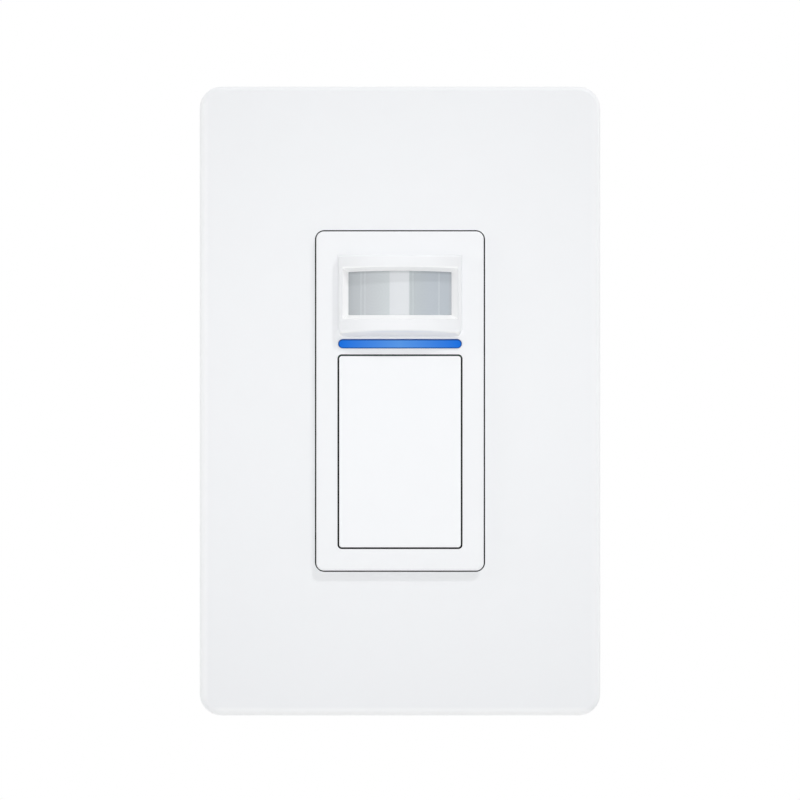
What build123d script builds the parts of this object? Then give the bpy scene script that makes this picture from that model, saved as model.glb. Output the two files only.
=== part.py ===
from build123d import *
import math
import os

# Motion sensor wall switch for a single box, in millimetres.
# The front faces -Y, +X is to the right, +Z is up and the wall is the plane Y = 0.
# The origin is midway between the two box screws.

# Driving sizes
plate_width = 79.0
plate_height = 124.0
plate_depth = 6.4
insert_width = 32.95
insert_height = 66.75
insert_front = -7.7
box_screw_spacing = 83.34
plate_screw_spacing = 96.8
housing_width = 43.0
housing_height = 68.0
housing_depth = 30.5
paddle_width = 24.05
paddle_height = 37.75
paddle_middle = -9.97

# Clearances
insert_gap = 0.28
paddle_gap = 0.28
bar_gap = 0.08
seat_gap = 0.05
running_gap = 0.05
easy_gap = 0.2
cut_over = 1.0
quarter_turn = 90
full_turn = 360

# Common levels, counted along Y from the wall
wall_level = 0.0
yoke_front = -1.2
flange_front = -2.9
base_rear = -3.1
base_front = -4.6
cover_inside = -4.8
cover_front = -plate_depth
insert_skin = 1.6
insert_inside = insert_front + insert_skin
board_thickness = 1.6
board_front = 1.0
board_rear = board_front + board_thickness
power_space = 6.5
power_front = housing_depth - power_space
power_rear = power_front + board_thickness
stack_height = power_front - board_rear
housing_wall = 1.8
housing_floor = housing_depth - housing_wall
flange_margin = 1.925
flange_height = insert_height + 2 * flange_margin

# Long housing screws
long_screw_inset_x = 3.3
long_screw_inset_z = 3.2
long_screw_sink = 5.0
long_screw_x = housing_width / 2 - long_screw_inset_x
long_screw_z = housing_height / 2 - long_screw_inset_z
long_screw_radius = 1.35
long_screw_head_radius = 2.35
long_screw_head_height = 1.8
long_screw_seat = housing_depth - long_screw_sink
long_screw_tip = -4.0

# Sensor hood and its window
hood_half_width = 12.1
hood_top = 28.58
hood_foot = 12.7
hood_side_rise = 1.65
hood_middle_rise = 3.05
hood_side_front = insert_front - hood_side_rise
hood_middle_front = insert_front - hood_middle_rise
hood_sagitta = hood_side_front - hood_middle_front
hood_radius = (hood_half_width ** 2 + hood_sagitta ** 2) / (2 * hood_sagitta)
hood_centre_y = hood_middle_front + hood_radius
hood_depth = 1.7
seat_radius = hood_radius - hood_depth
window_half_front = 11.43
window_half_rear = 10.12
window_top_front = 26.34
window_top_rear = 25.6
window_arch = 0.28
window_foot_front = 16.04
window_foot_rear = 16.9
lens_half_width = 11.6
lens_top = 26.4
lens_foot = 16.1
lens_front_radius = seat_radius - seat_gap
lens_thickness = 1.1
lens_rear_radius = lens_front_radius - lens_thickness
sensor_z = (window_top_rear + window_foot_rear) / 2

# Light bar
bar_z = 11.27
bar_length = 24.2
bar_height = 1.7
bar_proud = 0.35

# Paddle motion
hinge_y = -4.4
hinge_z = 7.4
trunnion_radius = 1.0
trunnion_end = 14.0
plunger_z = -10.4
plunger_top = -3.8
plunger_radius = 1.7
spring_z = -24.0
spring_front = insert_inside
spring_rear = -0.2
spring_mean_radius = 1.85
spring_wire_radius = 0.2
spring_turns = 4

# Wire terminals
terminal_back_space = 11.0
terminal_depth = 7.5
terminal_y = housing_depth - terminal_back_space
terminal_floor = housing_width / 2 - terminal_depth
recess_ahead = 6.5
recess_behind = 7.5
recess_front = terminal_y - recess_ahead
recess_rear = terminal_y + recess_behind
recess_half_height = 5.2
bracket_thickness = 1.2
terminal_screw_radius = 1.95
wire_hole_radius = 1.3
wire_hole_inset = 5.15
wire_hole_x = housing_width / 2 - wire_hole_inset
wire_hole_offset = 3.35
terminals = {"line": (1, 14.0), "load": (1, -6.0), "neutral": (-1, 14.0)}


def block(x0, x1, y0, y1, z0, z1):
    middle = ((x0 + x1) / 2, (y0 + y1) / 2, (z0 + z1) / 2)
    return Pos(*middle) * Box(abs(x1 - x0), abs(y1 - y0), abs(z1 - z0))


def rod_x(y, z, radius, x0, x1):
    return Pos((x0 + x1) / 2, y, z) * Rot(0, quarter_turn, 0) * Cylinder(radius, abs(x1 - x0))


def rod_y(x, z, radius, y0, y1):
    return Pos(x, (y0 + y1) / 2, z) * Rot(quarter_turn, 0, 0) * Cylinder(radius, abs(y1 - y0))


def rod_z(x, y, radius, z0, z1):
    return Pos(x, y, (z0 + z1) / 2) * Cylinder(radius, abs(z1 - z0))


def front_plane(y):
    # Sketches on it have X to the right and Z up, and are extruded towards the front.
    return Plane(origin=(0, y, 0), x_dir=(1, 0, 0), z_dir=(0, -1, 0))


def slab(shape, y_front, y_rear):
    return extrude(front_plane(y_rear) * shape, amount=y_rear - y_front)


def rounded(width, height, radius, x=0, z=0):
    return Pos(x, z) * RectangleRounded(width, height, radius)


def round_front(part, radius):
    return fillet(part.edges().group_by(Axis.Y)[0], radius)


def round_rear(part, radius):
    return fillet(part.edges().group_by(Axis.Y)[-1], radius)


def cone_y(x, z, radius_front, radius_rear, y_front, y_rear):
    # Loft of two circles, for countersinks and screw heads
    front = front_plane(y_front) * Pos(x, z) * Circle(radius_front)
    rear = front_plane(y_rear) * Pos(x, z) * Circle(radius_rear)
    return loft([front, rear])


def hood_ring(profile, half_width):
    # Ring round the hood's own vertical axis, kept only where it lies in the front part
    axis = Axis((0, hood_centre_y, 0), (0, 0, 1))
    ring = revolve(Plane.YZ * profile, axis, full_turn)
    reach = hood_radius / 2
    return ring & block(-half_width, half_width, hood_centre_y - 2 * hood_radius,
                        hood_centre_y - reach, -plate_height, plate_height)


def ring_profile(radius_out, radius_in, z0, z1):
    y_out = hood_centre_y - radius_out
    y_in = hood_centre_y - radius_in
    return Polyline((y_out, z0), (y_in, z0), (y_in, z1), (y_out, z1), close=True)


def make_ring(radius_out, radius_in, z0, z1, half_width):
    return hood_ring(make_face(ring_profile(radius_out, radius_in, z0, z1)), half_width)


def cross_slot(x, z, length, width, y_front, depth):
    upright = block(x - width / 2, x + width / 2, y_front - cut_over, y_front + depth,
                    z - length / 2, z + length / 2)
    level = block(x - length / 2, x + length / 2, y_front - cut_over, y_front + depth,
                  z - width / 2, z + width / 2)
    return upright + level


# Snap arms shared by the cover and the base plate
arm_thickness = 1.0
arm_half_length = 4.0
arm_inset = 5.1
arm_side_x = plate_width / 2 - arm_inset
arm_side_z = 30.0
arm_end_z = plate_height / 2 - arm_inset
arm_tip = -1.5
arm_barb = 0.9
arm_barb_slope_share = 0.6
arm_slot_gap = 0.3
arm_spots = [(sx * arm_side_x, sz * arm_side_z, 0) for sx in (-1, 1) for sz in (-1, 1)]
arm_spots = arm_spots + [(0, sz * arm_end_z, quarter_turn) for sz in (-1, 1)]


def snap_arm(x, z, turn):
    outward = 1 if (x > 0 or z > 0) else -1
    leg = block(-arm_thickness / 2, arm_thickness / 2, cover_inside, arm_tip,
                -arm_half_length, arm_half_length)
    barb_top = base_rear + seat_gap
    barb_low = arm_tip - (arm_tip - barb_top) * (1 - arm_barb_slope_share)
    near = arm_thickness / 2
    far = near + arm_barb
    outline = Polyline((outward * 0, barb_top), (outward * far, barb_top),
                       (outward * far, barb_low), (outward * near, arm_tip),
                       (outward * 0, arm_tip), close=True)
    barb = extrude(make_face(outline), amount=arm_half_length, both=True)
    piece = leg + barb
    return Pos(x, 0, z) * Rot(0, -turn, 0) * piece


def wall_plate_cover():
    corner = 4.3
    edge_round = 1.1
    skirt = 1.8
    opening_corner = 1.85
    rib = 0.8
    rib_rear = -3.3
    long_rib = 26.0
    short_rib = 13.0
    pry_half = 4.0
    pry_depth = 0.9
    opening_width = insert_width + 2 * insert_gap
    opening_height = insert_height + 2 * insert_gap
    body = slab(rounded(plate_width, plate_height, corner), cover_front, wall_level)
    body = round_front(body, edge_round)
    hollow = slab(rounded(plate_width - 2 * skirt, plate_height - 2 * skirt, corner - skirt),
                  cover_inside, wall_level + cut_over)
    opening = slab(rounded(opening_width, opening_height, opening_corner),
                   cover_front - cut_over, wall_level)
    body = body - hollow - opening
    for side in (-1, 1):
        inner_x = side * opening_width / 2
        inner_z = side * opening_height / 2
        body = body + block(inner_x, inner_x + side * rib, cover_inside, rib_rear,
                            -long_rib, long_rib)
        body = body + block(-short_rib, short_rib, cover_inside, rib_rear,
                            inner_z, inner_z + side * rib)
    for x, z, turn in arm_spots:
        body = body + snap_arm(x, z, turn)
    body = body - block(-pry_half, pry_half, wall_level - pry_depth, wall_level + cut_over,
                        -plate_height, -plate_height / 2 + skirt + easy_gap)
    return body


# Base plate screws
plate_screw_radius = 1.75
plate_screw_head = 3.25
plate_screw_head_height = 1.5
plate_screw_boss = 3.1


def wall_plate_base():
    corner = 2.3
    rim = 1.4
    inset = 2.1
    opening_gap_x = 1.1
    opening_gap_z = 1.2
    width = plate_width - 2 * inset
    height = plate_height - 2 * inset
    opening_width = housing_width + 2 * opening_gap_x
    opening_height = flange_height + 2 * opening_gap_z
    opening_corner = 3.0
    inner_rim = 1.0
    rib = 1.2
    rib_rear = -0.4
    rib_rows = (-14.0, 1.0, 16.0)
    rib_columns = (-15.0, 15.0)
    rim_inside_x = width / 2 - rim / 2
    rim_inside_z = height / 2 - rim / 2
    whole = slab(rounded(width, height, corner), base_front, wall_level)
    under = slab(rounded(width - 2 * rim, height - 2 * rim, corner - rim),
                 base_rear, wall_level + cut_over)
    body = whole - under
    ring = slab(rounded(opening_width + 2 * inner_rim, opening_height + 2 * inner_rim,
                        opening_corner + inner_rim), base_front, yoke_front)
    for side in (-1, 1):
        for z in rib_rows:
            ring = ring + block(side * opening_width / 2, side * rim_inside_x, base_rear,
                                rib_rear, z - rib / 2, z + rib / 2)
        for x in rib_columns:
            ring = ring + block(x - rib / 2, x + rib / 2, base_rear, rib_rear,
                                side * opening_height / 2, side * rim_inside_z)
        ring = ring + rod_y(0, side * plate_screw_spacing / 2, plate_screw_boss,
                            base_rear, yoke_front)
    body = body + ring
    body = body - slab(rounded(opening_width, opening_height, opening_corner),
                       base_front - cut_over, wall_level + cut_over)
    for side in (-1, 1):
        z = side * plate_screw_spacing / 2
        body = body - rod_y(0, z, plate_screw_radius + easy_gap, base_front - cut_over, wall_level)
        sink_depth = base_front + plate_screw_head_height + seat_gap
        body = body - cone_y(0, z, plate_screw_head + seat_gap, plate_screw_radius + easy_gap,
                             base_front, sink_depth)
    slot_x = arm_thickness + 2 * arm_slot_gap
    slot_z = 2 * arm_half_length + 2 * arm_slot_gap
    for x, z, turn in arm_spots:
        width_x, height_z = (slot_z, slot_x) if turn else (slot_x, slot_z)
        body = body - block(x - width_x / 2, x + width_x / 2, base_front - cut_over,
                            base_rear + cut_over, z - height_z / 2, z + height_z / 2)
    return body


def base_plate_screws():
    tip = 6.0
    tip_chamfer = 0.5
    slot_length = 4.6
    slot_width = 0.9
    slot_depth = 0.8
    screws = []
    for side in (-1, 1):
        z = side * plate_screw_spacing / 2
        head_rear = base_front + plate_screw_head_height
        head = cone_y(0, z, plate_screw_head, plate_screw_radius, base_front, head_rear)
        shank = rod_y(0, z, plate_screw_radius, head_rear, tip)
        shank = chamfer(shank.edges().group_by(Axis.Y)[-1], tip_chamfer)
        screw = head + shank
        screws.append(screw - cross_slot(0, z, slot_length, slot_width, base_front, slot_depth))
    return Compound(children=screws)


# Ground screw tab on the yoke's left side
ground_z = -22.0
ground_half = 4.6
ground_y = 7.0
ground_tab_offset = 0.2
ground_tab_x = -housing_width / 2 - ground_tab_offset
ground_tab_thickness = 1.2
ground_screw_radius = 1.75


def yoke():
    centre_corner = 2.0
    window_width = 31.0
    window_height = 61.0
    window_corner = 2.0
    neck_width = 20.0
    end_z = 53.2
    neck_corner = 2.0
    ear_radius = 4.4
    ear_x = 9.2
    ear_z = 47.8
    groove_x = 6.4
    groove_width = 0.7
    groove_depth = 0.4
    slot_length = 7.2
    slot_height = 3.9
    neck_root = 33.0
    tab_end = 12.0
    tab_corner = 2.0
    bend_round = 1.0
    outline = rounded(housing_width, flange_height, centre_corner)
    for side in (-1, 1):
        neck_height = end_z - neck_root
        outline = outline + rounded(neck_width, neck_height, neck_corner,
                                    0, side * (neck_root + neck_height / 2))
        for across in (-1, 1):
            outline = outline + Pos(across * ear_x, side * ear_z) * Circle(ear_radius)
    outline = outline - rounded(window_width, window_height, window_corner)
    for side in (-1, 1):
        outline = outline - Pos(0, side * box_screw_spacing / 2) * SlotOverall(slot_length, slot_height)
        outline = outline - Pos(0, side * plate_screw_spacing / 2) * Circle(
            plate_screw_radius + running_gap)
        for across in (-1, 1):
            outline = outline - Pos(across * long_screw_x, side * long_screw_z) * Circle(
                long_screw_radius + easy_gap)
    body = slab(outline, yoke_front, wall_level)
    for side in (-1, 1):
        for across in (-1, 1):
            body = body - block(across * groove_x - groove_width / 2,
                                across * groove_x + groove_width / 2,
                                yoke_front - cut_over, yoke_front + groove_depth,
                                side * (ear_z - ear_radius), side * (end_z + cut_over))
    tab_outer = ground_tab_x - ground_tab_thickness
    bridge = block(tab_outer, -housing_width / 2 + centre_corner, yoke_front, wall_level,
                   ground_z - ground_half, ground_z + ground_half)
    upright = block(tab_outer, ground_tab_x, yoke_front, tab_end,
                    ground_z - ground_half, ground_z + ground_half)
    upright = fillet(upright.edges().group_by(Axis.Y)[-1].filter_by(Axis.X), tab_corner)
    tab = bridge + upright
    bend = tab.edges().filter_by(Axis.Z).sort_by(Axis.X)[0:2].sort_by(Axis.Y)[0]
    tab = fillet(bend, bend_round)
    body = body + tab
    body = body - rod_x(ground_y, ground_z, ground_screw_radius + running_gap,
                        tab_outer - cut_over, ground_tab_x + cut_over)
    return body


def box_screws():
    head_radius = 3.3
    head_height = 1.6
    head_round = 0.8
    neck_radius = 1.45
    neck_end = 0.3
    thread_radius = 1.75
    tip = 22.5
    tip_chamfer = 0.6
    slot_length = 4.8
    slot_width = 0.9
    slot_depth = 0.7
    screws = []
    for side in (-1, 1):
        z = side * box_screw_spacing / 2
        head_front = yoke_front - head_height
        head = round_front(rod_y(0, z, head_radius, head_front, yoke_front), head_round)
        neck = rod_y(0, z, neck_radius, yoke_front, neck_end)
        thread = rod_y(0, z, thread_radius, neck_end, tip)
        thread = chamfer(thread.edges().group_by(Axis.Y)[-1], tip_chamfer)
        screw = head + neck + thread
        screws.append(screw - cross_slot(0, z, slot_length, slot_width, head_front, slot_depth))
    return Compound(children=screws)


def ground_screw():
    head_radius = 3.6
    head_height = 2.0
    hex_share = 0.96
    hex_sides = 6
    reach = 3.7
    slot_length = 5.0
    slot_width = 0.9
    slot_depth = 0.8
    outer = ground_tab_x - ground_tab_thickness
    head_end = outer - head_height
    washer = rod_x(ground_y, ground_z, head_radius, outer, outer - head_height / 2)
    hexagon = RegularPolygon(head_radius * hex_share, hex_sides)
    side_plane = Plane(origin=(outer, ground_y, ground_z), x_dir=(0, 1, 0), z_dir=(-1, 0, 0))
    head = washer + extrude(side_plane * hexagon, amount=head_height)
    shank = rod_x(ground_y, ground_z, ground_screw_radius, outer, ground_tab_x + reach)
    slot = block(head_end - cut_over, head_end + slot_depth, ground_y - slot_length / 2,
                 ground_y + slot_length / 2, ground_z - slot_width / 2, ground_z + slot_width / 2)
    return head + shank - slot


# Parts of the front frame that others fit to
lower_post_x = 13.7
lower_post_z = -26.0
upper_post_z = 14.05
post_radius = 0.95
stake_x = 13.3
stake_rows = (17.5, 25.0)
stake_radius = 0.6
retainer_half_width = 14.2
retainer_foot = 15.2
retainer_top = 27.5
retainer_thickness = 1.0
retainer_rear_radius = lens_rear_radius - seat_gap - retainer_thickness
retainer_end_rear = hood_centre_y - math.sqrt(retainer_rear_radius ** 2
                                              - retainer_half_width ** 2)


def sensor_hood():
    edge_round = 0.35
    corner_round = 1.1
    slope_deg = 20.0
    steepest_share = 0.9
    slope = math.tan(math.radians(slope_deg))
    reach = 6.0
    low = hood_foot - cut_over
    outline = Polyline((-hood_half_width, hood_side_front), (-hood_half_width, insert_inside),
                       (hood_half_width, insert_inside), (hood_half_width, hood_side_front))
    nose = ThreePointArc((hood_half_width, hood_side_front), (0, hood_middle_front),
                         (-hood_half_width, hood_side_front))
    shape = make_face(Curve() + [outline, nose])
    body = extrude(Plane.XY.offset(low) * shape, amount=hood_top - low)
    wedge = Polyline((insert_front, low - cut_over), (insert_front, hood_foot),
                     (insert_front - reach, hood_foot + reach * slope),
                     (insert_front - reach, low - cut_over), close=True)
    body = body - extrude(Plane.YZ * make_face(wedge), amount=plate_width / 2, both=True)
    sloped = body.edges().filter_by(lambda edge: 0 < abs(edge.tangent_at(0).Z) < steepest_share
                                    and abs(edge.center().X) > hood_half_width - seat_gap)
    body = fillet(sloped, corner_round)
    nose_face = body.faces().filter_by(GeomType.CYLINDER).sort_by(SortBy.AREA)[-1]
    return fillet(nose_face.edges(), edge_round)


def window_cutter():
    # Facets above and below follow the hood's curve, facets at the sides are flat.
    # The upper ring leans back, which arches the window's top edge in the front view.
    slack = 1.0
    y_front = hood_centre_y - math.sqrt(hood_radius ** 2 - window_half_front ** 2)
    lean = math.asin(window_arch / (y_front - hood_middle_front))
    top_rise = (window_top_front - window_top_rear) / hood_depth - math.tan(lean)
    foot_fall = (window_foot_rear - window_foot_front) / hood_depth
    y_out = hood_middle_front - slack
    y_in = hood_middle_front + hood_depth + slack
    lower_end = window_top_rear - slack
    lower = Polyline((y_out, window_foot_front - slack * foot_fall),
                     (y_in, window_foot_rear + slack * foot_fall),
                     (y_in, lower_end), (y_out, lower_end), close=True)
    upper = Polyline((y_out, sensor_z), (y_in, sensor_z),
                     (y_in, window_top_front - (hood_depth + slack) * top_rise),
                     (y_out, window_top_front + slack * top_rise), close=True)
    lower_ring = hood_ring(make_face(lower), hood_half_width)
    upper_ring = hood_ring(make_face(upper), hood_half_width)
    pivot = (0, hood_middle_front, window_top_front)
    upper_ring = Pos(*pivot) * Rot(-math.degrees(lean), 0, 0) * Pos(
        0, -hood_middle_front, -window_top_front) * upper_ring
    ring = lower_ring + upper_ring
    y_rear = hood_centre_y - math.sqrt(seat_radius ** 2 - window_half_rear ** 2)
    flare = (window_half_front - window_half_rear) / (y_rear - y_front)
    reach = 3.0
    front_half = window_half_front + reach * flare
    rear_half = window_half_rear - reach * flare
    sides = Polyline((-front_half, y_front - reach), (-rear_half, y_rear + reach),
                     (rear_half, y_rear + reach), (front_half, y_front - reach), close=True)
    prism = extrude(Plane.XY.offset(sensor_z) * make_face(sides), amount=hood_top, both=True)
    return ring & prism


def front_frame():
    corner = 1.5
    wall = 1.5
    front_round = 0.35
    inner_corner = 0.8
    flange_corner = 2.0
    boss_radius = 2.2
    boss_front = -4.4
    opening_corner = 0.85
    ear_gap = 0.475
    ear_end = 14.4
    ear_half = 2.0
    ear_rear = -2.6
    snap_half = 0.85
    baffle_rows = (9.45, 12.5)
    baffle = 0.7
    stake_head = 1.0
    stake_head_height = 0.7
    stake_head_front = retainer_end_rear + seat_gap
    stake_rear = stake_head_front + stake_head_height
    tub = slab(rounded(insert_width, insert_height, corner), insert_front, yoke_front)
    tub = round_front(tub, front_round)
    flange = slab(rounded(housing_width, flange_height, flange_corner), flange_front, yoke_front)
    hollow = slab(rounded(insert_width - 2 * wall, insert_height - 2 * wall, inner_corner),
                  insert_inside, wall_level)
    body = tub + flange
    for side in (-1, 1):
        for across in (-1, 1):
            body = body + rod_y(across * long_screw_x, side * long_screw_z, boss_radius,
                                boss_front, flange_front)
    body = body - hollow
    body = body + sensor_hood()
    pocket = make_ring(seat_radius, seat_radius - 2 * hood_depth, lens_foot - seat_gap,
                       lens_top + seat_gap, lens_half_width + seat_gap)
    clip_pocket = make_ring(lens_rear_radius, seat_radius - 2 * hood_depth,
                            retainer_foot - seat_gap, retainer_top + seat_gap,
                            retainer_half_width + seat_gap)
    body = body - pocket - clip_pocket
    body = body - window_cutter()
    inner_x = insert_width / 2 - wall / 2
    for z in baffle_rows:
        body = body + block(-inner_x, inner_x, insert_inside, yoke_front, z, z + baffle)
    ear_start = paddle_width / 2 + ear_gap
    for side in (-1, 1):
        ear = block(side * ear_start, side * ear_end, insert_inside, ear_rear,
                    hinge_z - ear_half, hinge_z + ear_half)
        body = body + ear
        for z in stake_rows:
            body = body + rod_y(side * stake_x, z, stake_radius, insert_inside - easy_gap,
                                stake_rear)
            body = body + rod_y(side * stake_x, z, stake_head, stake_head_front, stake_rear)
        for z in (lower_post_z, upper_post_z):
            body = body + rod_y(side * lower_post_x, z, post_radius, insert_inside, board_front)
    paddle_hole = slab(rounded(paddle_width + 2 * paddle_gap, paddle_height + 2 * paddle_gap,
                               opening_corner, 0, paddle_middle),
                       insert_front - cut_over, insert_inside + easy_gap)
    body = body - paddle_hole
    bar_hole = slab(Pos(0, bar_z) * SlotOverall(bar_length + 2 * bar_gap, bar_height + 2 * bar_gap),
                    insert_front - cut_over, insert_inside + easy_gap)
    body = body - bar_hole
    for side in (-1, 1):
        body = body - rod_x(hinge_y, hinge_z, trunnion_radius + running_gap,
                            side * (ear_start - easy_gap), side * (ear_end + easy_gap))
        body = body - block(side * (ear_start - easy_gap), side * (ear_end + easy_gap),
                            hinge_y, ear_rear + cut_over, hinge_z - snap_half, hinge_z + snap_half)
        for across in (-1, 1):
            body = body - rod_y(across * long_screw_x, side * long_screw_z,
                                long_screw_radius + running_gap, boss_front - cut_over, wall_level)
    return body


def fresnel_lens():
    # Smooth front, with sets of stepped grooves on the inside, one set for each segment
    segment_shares = (-0.99, -0.78, -0.235, 0.245, 0.78, 0.99)
    segment_edges = [share * window_half_rear for share in segment_shares]
    groove_pitch = 0.55
    groove_depth = 0.25
    groove_foot = window_foot_rear + easy_gap
    groove_top = window_top_rear - easy_gap
    body = make_ring(lens_front_radius, lens_rear_radius, lens_foot, lens_top, lens_half_width)
    points = []
    for left, right in zip(segment_edges[:-1], segment_edges[1:]):
        count = max(2, round((right - left) / groove_pitch))
        step = (right - left) / count
        for number in range(count):
            start = left + number * step
            end = start + step
            centre_is_right = (start + end) / 2 < (left + right) / 2
            deep_start = groove_depth if centre_is_right else 0
            deep_end = 0 if centre_is_right else groove_depth
            for x, deep in ((start, deep_start), (end, deep_end)):
                radius = lens_rear_radius + deep
                points.append((x, hood_centre_y - math.sqrt(radius ** 2 - x ** 2)))
    clean = [points[0]]
    for point in points[1:]:
        if abs(point[0] - clean[-1][0]) + abs(point[1] - clean[-1][1]) > seat_gap / 2:
            clean.append(point)
    behind = lens_thickness + groove_depth
    outline = clean + [(clean[-1][0], clean[-1][1] + behind), (0, clean[0][1] + behind)]
    outline = outline + [(clean[0][0], clean[0][1] + behind)]
    cutter = make_face(Polyline(*outline, close=True))
    body = body - extrude(Plane.XY.offset(groove_foot) * cutter, amount=groove_top - groove_foot)
    return body


def lens_retainer():
    outer = lens_rear_radius - seat_gap
    body = make_ring(outer, outer - retainer_thickness, retainer_foot, retainer_top,
                     retainer_half_width)
    body = body - block(-window_half_rear, window_half_rear, insert_front, board_front,
                        window_foot_rear, window_top_rear)
    for side in (-1, 1):
        for z in stake_rows:
            body = body - rod_y(side * stake_x, z, stake_radius + running_gap,
                                insert_front, board_front)
    return body


def light_pipe():
    flange_half = 13.6
    flange_rear = -4.9
    flange_half_height = 1.0
    edge_round = 0.3
    rear = -0.1
    foot_half = 10.5
    body = slab(Pos(0, bar_z) * SlotOverall(bar_length, bar_height),
                insert_front - bar_proud, insert_inside)
    body = round_front(body, edge_round)
    body = body + block(-flange_half, flange_half, insert_inside, flange_rear,
                        bar_z - flange_half_height, bar_z + flange_half_height)
    foot = Polyline((-bar_length / 2, flange_rear), (-foot_half, rear),
                    (foot_half, rear), (bar_length / 2, flange_rear), close=True)
    web = extrude(Plane.XY.offset(bar_z) * make_face(foot), amount=bar_height / 2, both=True)
    return body + web


def paddle():
    corner = 0.6
    edge_round = 0.2
    wall = 1.2
    wall_rear = -3.2
    pin_chamfer = 0.25
    stop_columns = (-7.0, 7.0)
    stop_half = 1.5
    stop_reach = 0.9
    stop_depth = 1.0
    rib_columns = (-6.0, 6.0)
    rib_rows = (-17.0, -3.5)
    rib = 0.8
    rib_rear = -4.6
    actuator_radius = 1.5
    spring_post = 1.3
    spring_post_rear = -4.4
    foot = paddle_middle - paddle_height / 2
    head = paddle_middle + paddle_height / 2
    inner_half = paddle_width / 2 - wall / 2
    body = slab(rounded(paddle_width, paddle_height, corner, 0, paddle_middle),
                insert_front, wall_rear)
    body = round_front(body, edge_round)
    hollow = block(-paddle_width / 2 + wall, paddle_width / 2 - wall, insert_inside,
                   wall_rear + cut_over, foot + wall, head - wall)
    body = body - hollow
    for x in rib_columns:
        body = body + block(x - rib / 2, x + rib / 2, insert_inside, rib_rear,
                            foot + wall / 2, head - wall / 2)
    for z in rib_rows:
        body = body + block(-inner_half, inner_half, insert_inside, rib_rear,
                            z - rib / 2, z + rib / 2)
    for side in (-1, 1):
        pin = rod_x(hinge_y, hinge_z, trunnion_radius, side * inner_half, side * trunnion_end)
        outer_edge = pin.edges().filter_by(GeomType.CIRCLE).sort_by(Axis.X)
        outer_edge = outer_edge[-1] if side > 0 else outer_edge[0]
        body = body + chamfer(outer_edge, pin_chamfer)
    for x in stop_columns:
        body = body + block(x - stop_half, x + stop_half, insert_inside + seat_gap,
                            insert_inside + seat_gap + stop_depth, foot - stop_reach, foot + wall)
    ball_y = plunger_top - running_gap - actuator_radius
    actuator = rod_y(0, plunger_z, actuator_radius, insert_inside, ball_y)
    actuator = actuator + Pos(0, ball_y, plunger_z) * Sphere(actuator_radius)
    body = body + actuator
    body = body + rod_y(0, spring_z, spring_post, insert_inside, spring_post_rear)
    return body


def paddle_spring():
    seat = spring_wire_radius + seat_gap / 2
    length = spring_rear - spring_front - 2 * seat
    pitch = length / spring_turns
    least_gap = pitch - 2 * spring_wire_radius
    print(f"paddle spring: least gap between turns {least_gap:.3f} mm")
    helix = Helix(pitch, length, spring_mean_radius)
    start = helix.position_at(0)
    wire = Plane(origin=start, z_dir=helix.tangent_at(0)) * Circle(spring_wire_radius)
    coil = sweep(wire, path=helix)
    return Pos(0, spring_front + seat, spring_z) * Rot(-quarter_turn, 0, 0) * coil


def inner_carrier():
    width = 30.4
    foot = -30.2
    top = 8.6
    corner = 1.5
    front = -0.2
    rear = 0.6
    window = 7.4
    cup_outer = 2.9
    cup_inner = 2.35
    cup_front = -1.6
    foot_half = 1.2
    feet_x = 11.5
    feet_z = (-21.0, 5.0)
    height = top - foot
    middle = (top + foot) / 2
    body = slab(rounded(width, height, corner, 0, middle), front, rear)
    cup = rod_y(0, spring_z, cup_outer, cup_front, front) - rod_y(
        0, spring_z, cup_inner, cup_front - cut_over, front)
    body = body + cup
    for side in (-1, 1):
        for z in feet_z:
            body = body + block(side * feet_x - foot_half, side * feet_x + foot_half,
                                rear, board_front, z - foot_half, z + foot_half)
        body = body - rod_y(side * lower_post_x, lower_post_z, post_radius + easy_gap,
                            front - cut_over, rear + cut_over)
    body = body - block(-window / 2, window / 2, front - cut_over, rear + cut_over,
                        plunger_z - window / 2, plunger_z + window / 2)
    return body


# Control board and what stands on it
board_inset_x = 2.2
board_inset_z = 6.6
notch_width = 4.1
board_half_width = housing_width / 2 - board_inset_x
board_half_height = housing_height / 2 - board_inset_z
notch_x = notch_width - board_half_width
notch_z = -15.2
header_z = -24.4
header_pitch = 2.54
header_count = 6
header_pin = 0.32
header_hole = 0.55
header_body_hole = 0.48
header_spots = [(n - (header_count - 1) / 2) * header_pitch for n in range(header_count)]
lead_radius = 0.22
lead_circle = 2.54
lead_angles = (45, 135, 270)
lead_hole = 0.45
tact_leg_z = 2.25


def lead_spots():
    spots = []
    for angle in lead_angles:
        turn = math.radians(angle)
        spots.append((lead_circle * math.cos(turn), sensor_z + lead_circle * math.sin(turn)))
    return spots


def control_board():
    corner = 1.0
    body = slab(rounded(2 * board_half_width, 2 * board_half_height, corner),
                board_front, board_rear)
    body = body - block(-board_half_width - cut_over, notch_x, board_front - cut_over,
                        board_rear + cut_over, -board_half_height - cut_over, notch_z)
    for x in header_spots:
        body = body - rod_y(x, header_z, header_hole, board_front - cut_over, board_rear + cut_over)
    for x, z in lead_spots():
        body = body - rod_y(x, z, lead_hole, board_front - cut_over, board_rear + cut_over)
    return body


can_radius = 4.1
can_shell = 0.25
can_front = -3.4
can_flange_radius = 4.7
can_flange_front = 0.5
can_window_width = 3.9
can_window_height = 2.9


def pir_sensor_can():
    edge_round = 0.35
    body = rod_y(0, sensor_z, can_radius, can_front, can_flange_front)
    body = round_front(body, edge_round)
    body = body + rod_y(0, sensor_z, can_flange_radius, can_flange_front - can_shell * 2,
                        can_flange_front)
    body = body - rod_y(0, sensor_z, can_radius - can_shell, can_front + can_shell,
                        can_flange_front + cut_over)
    body = body - block(-can_window_width / 2, can_window_width / 2, can_front - cut_over,
                        can_front + cut_over, sensor_z - can_window_height / 2,
                        sensor_z + can_window_height / 2)
    return body


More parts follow.
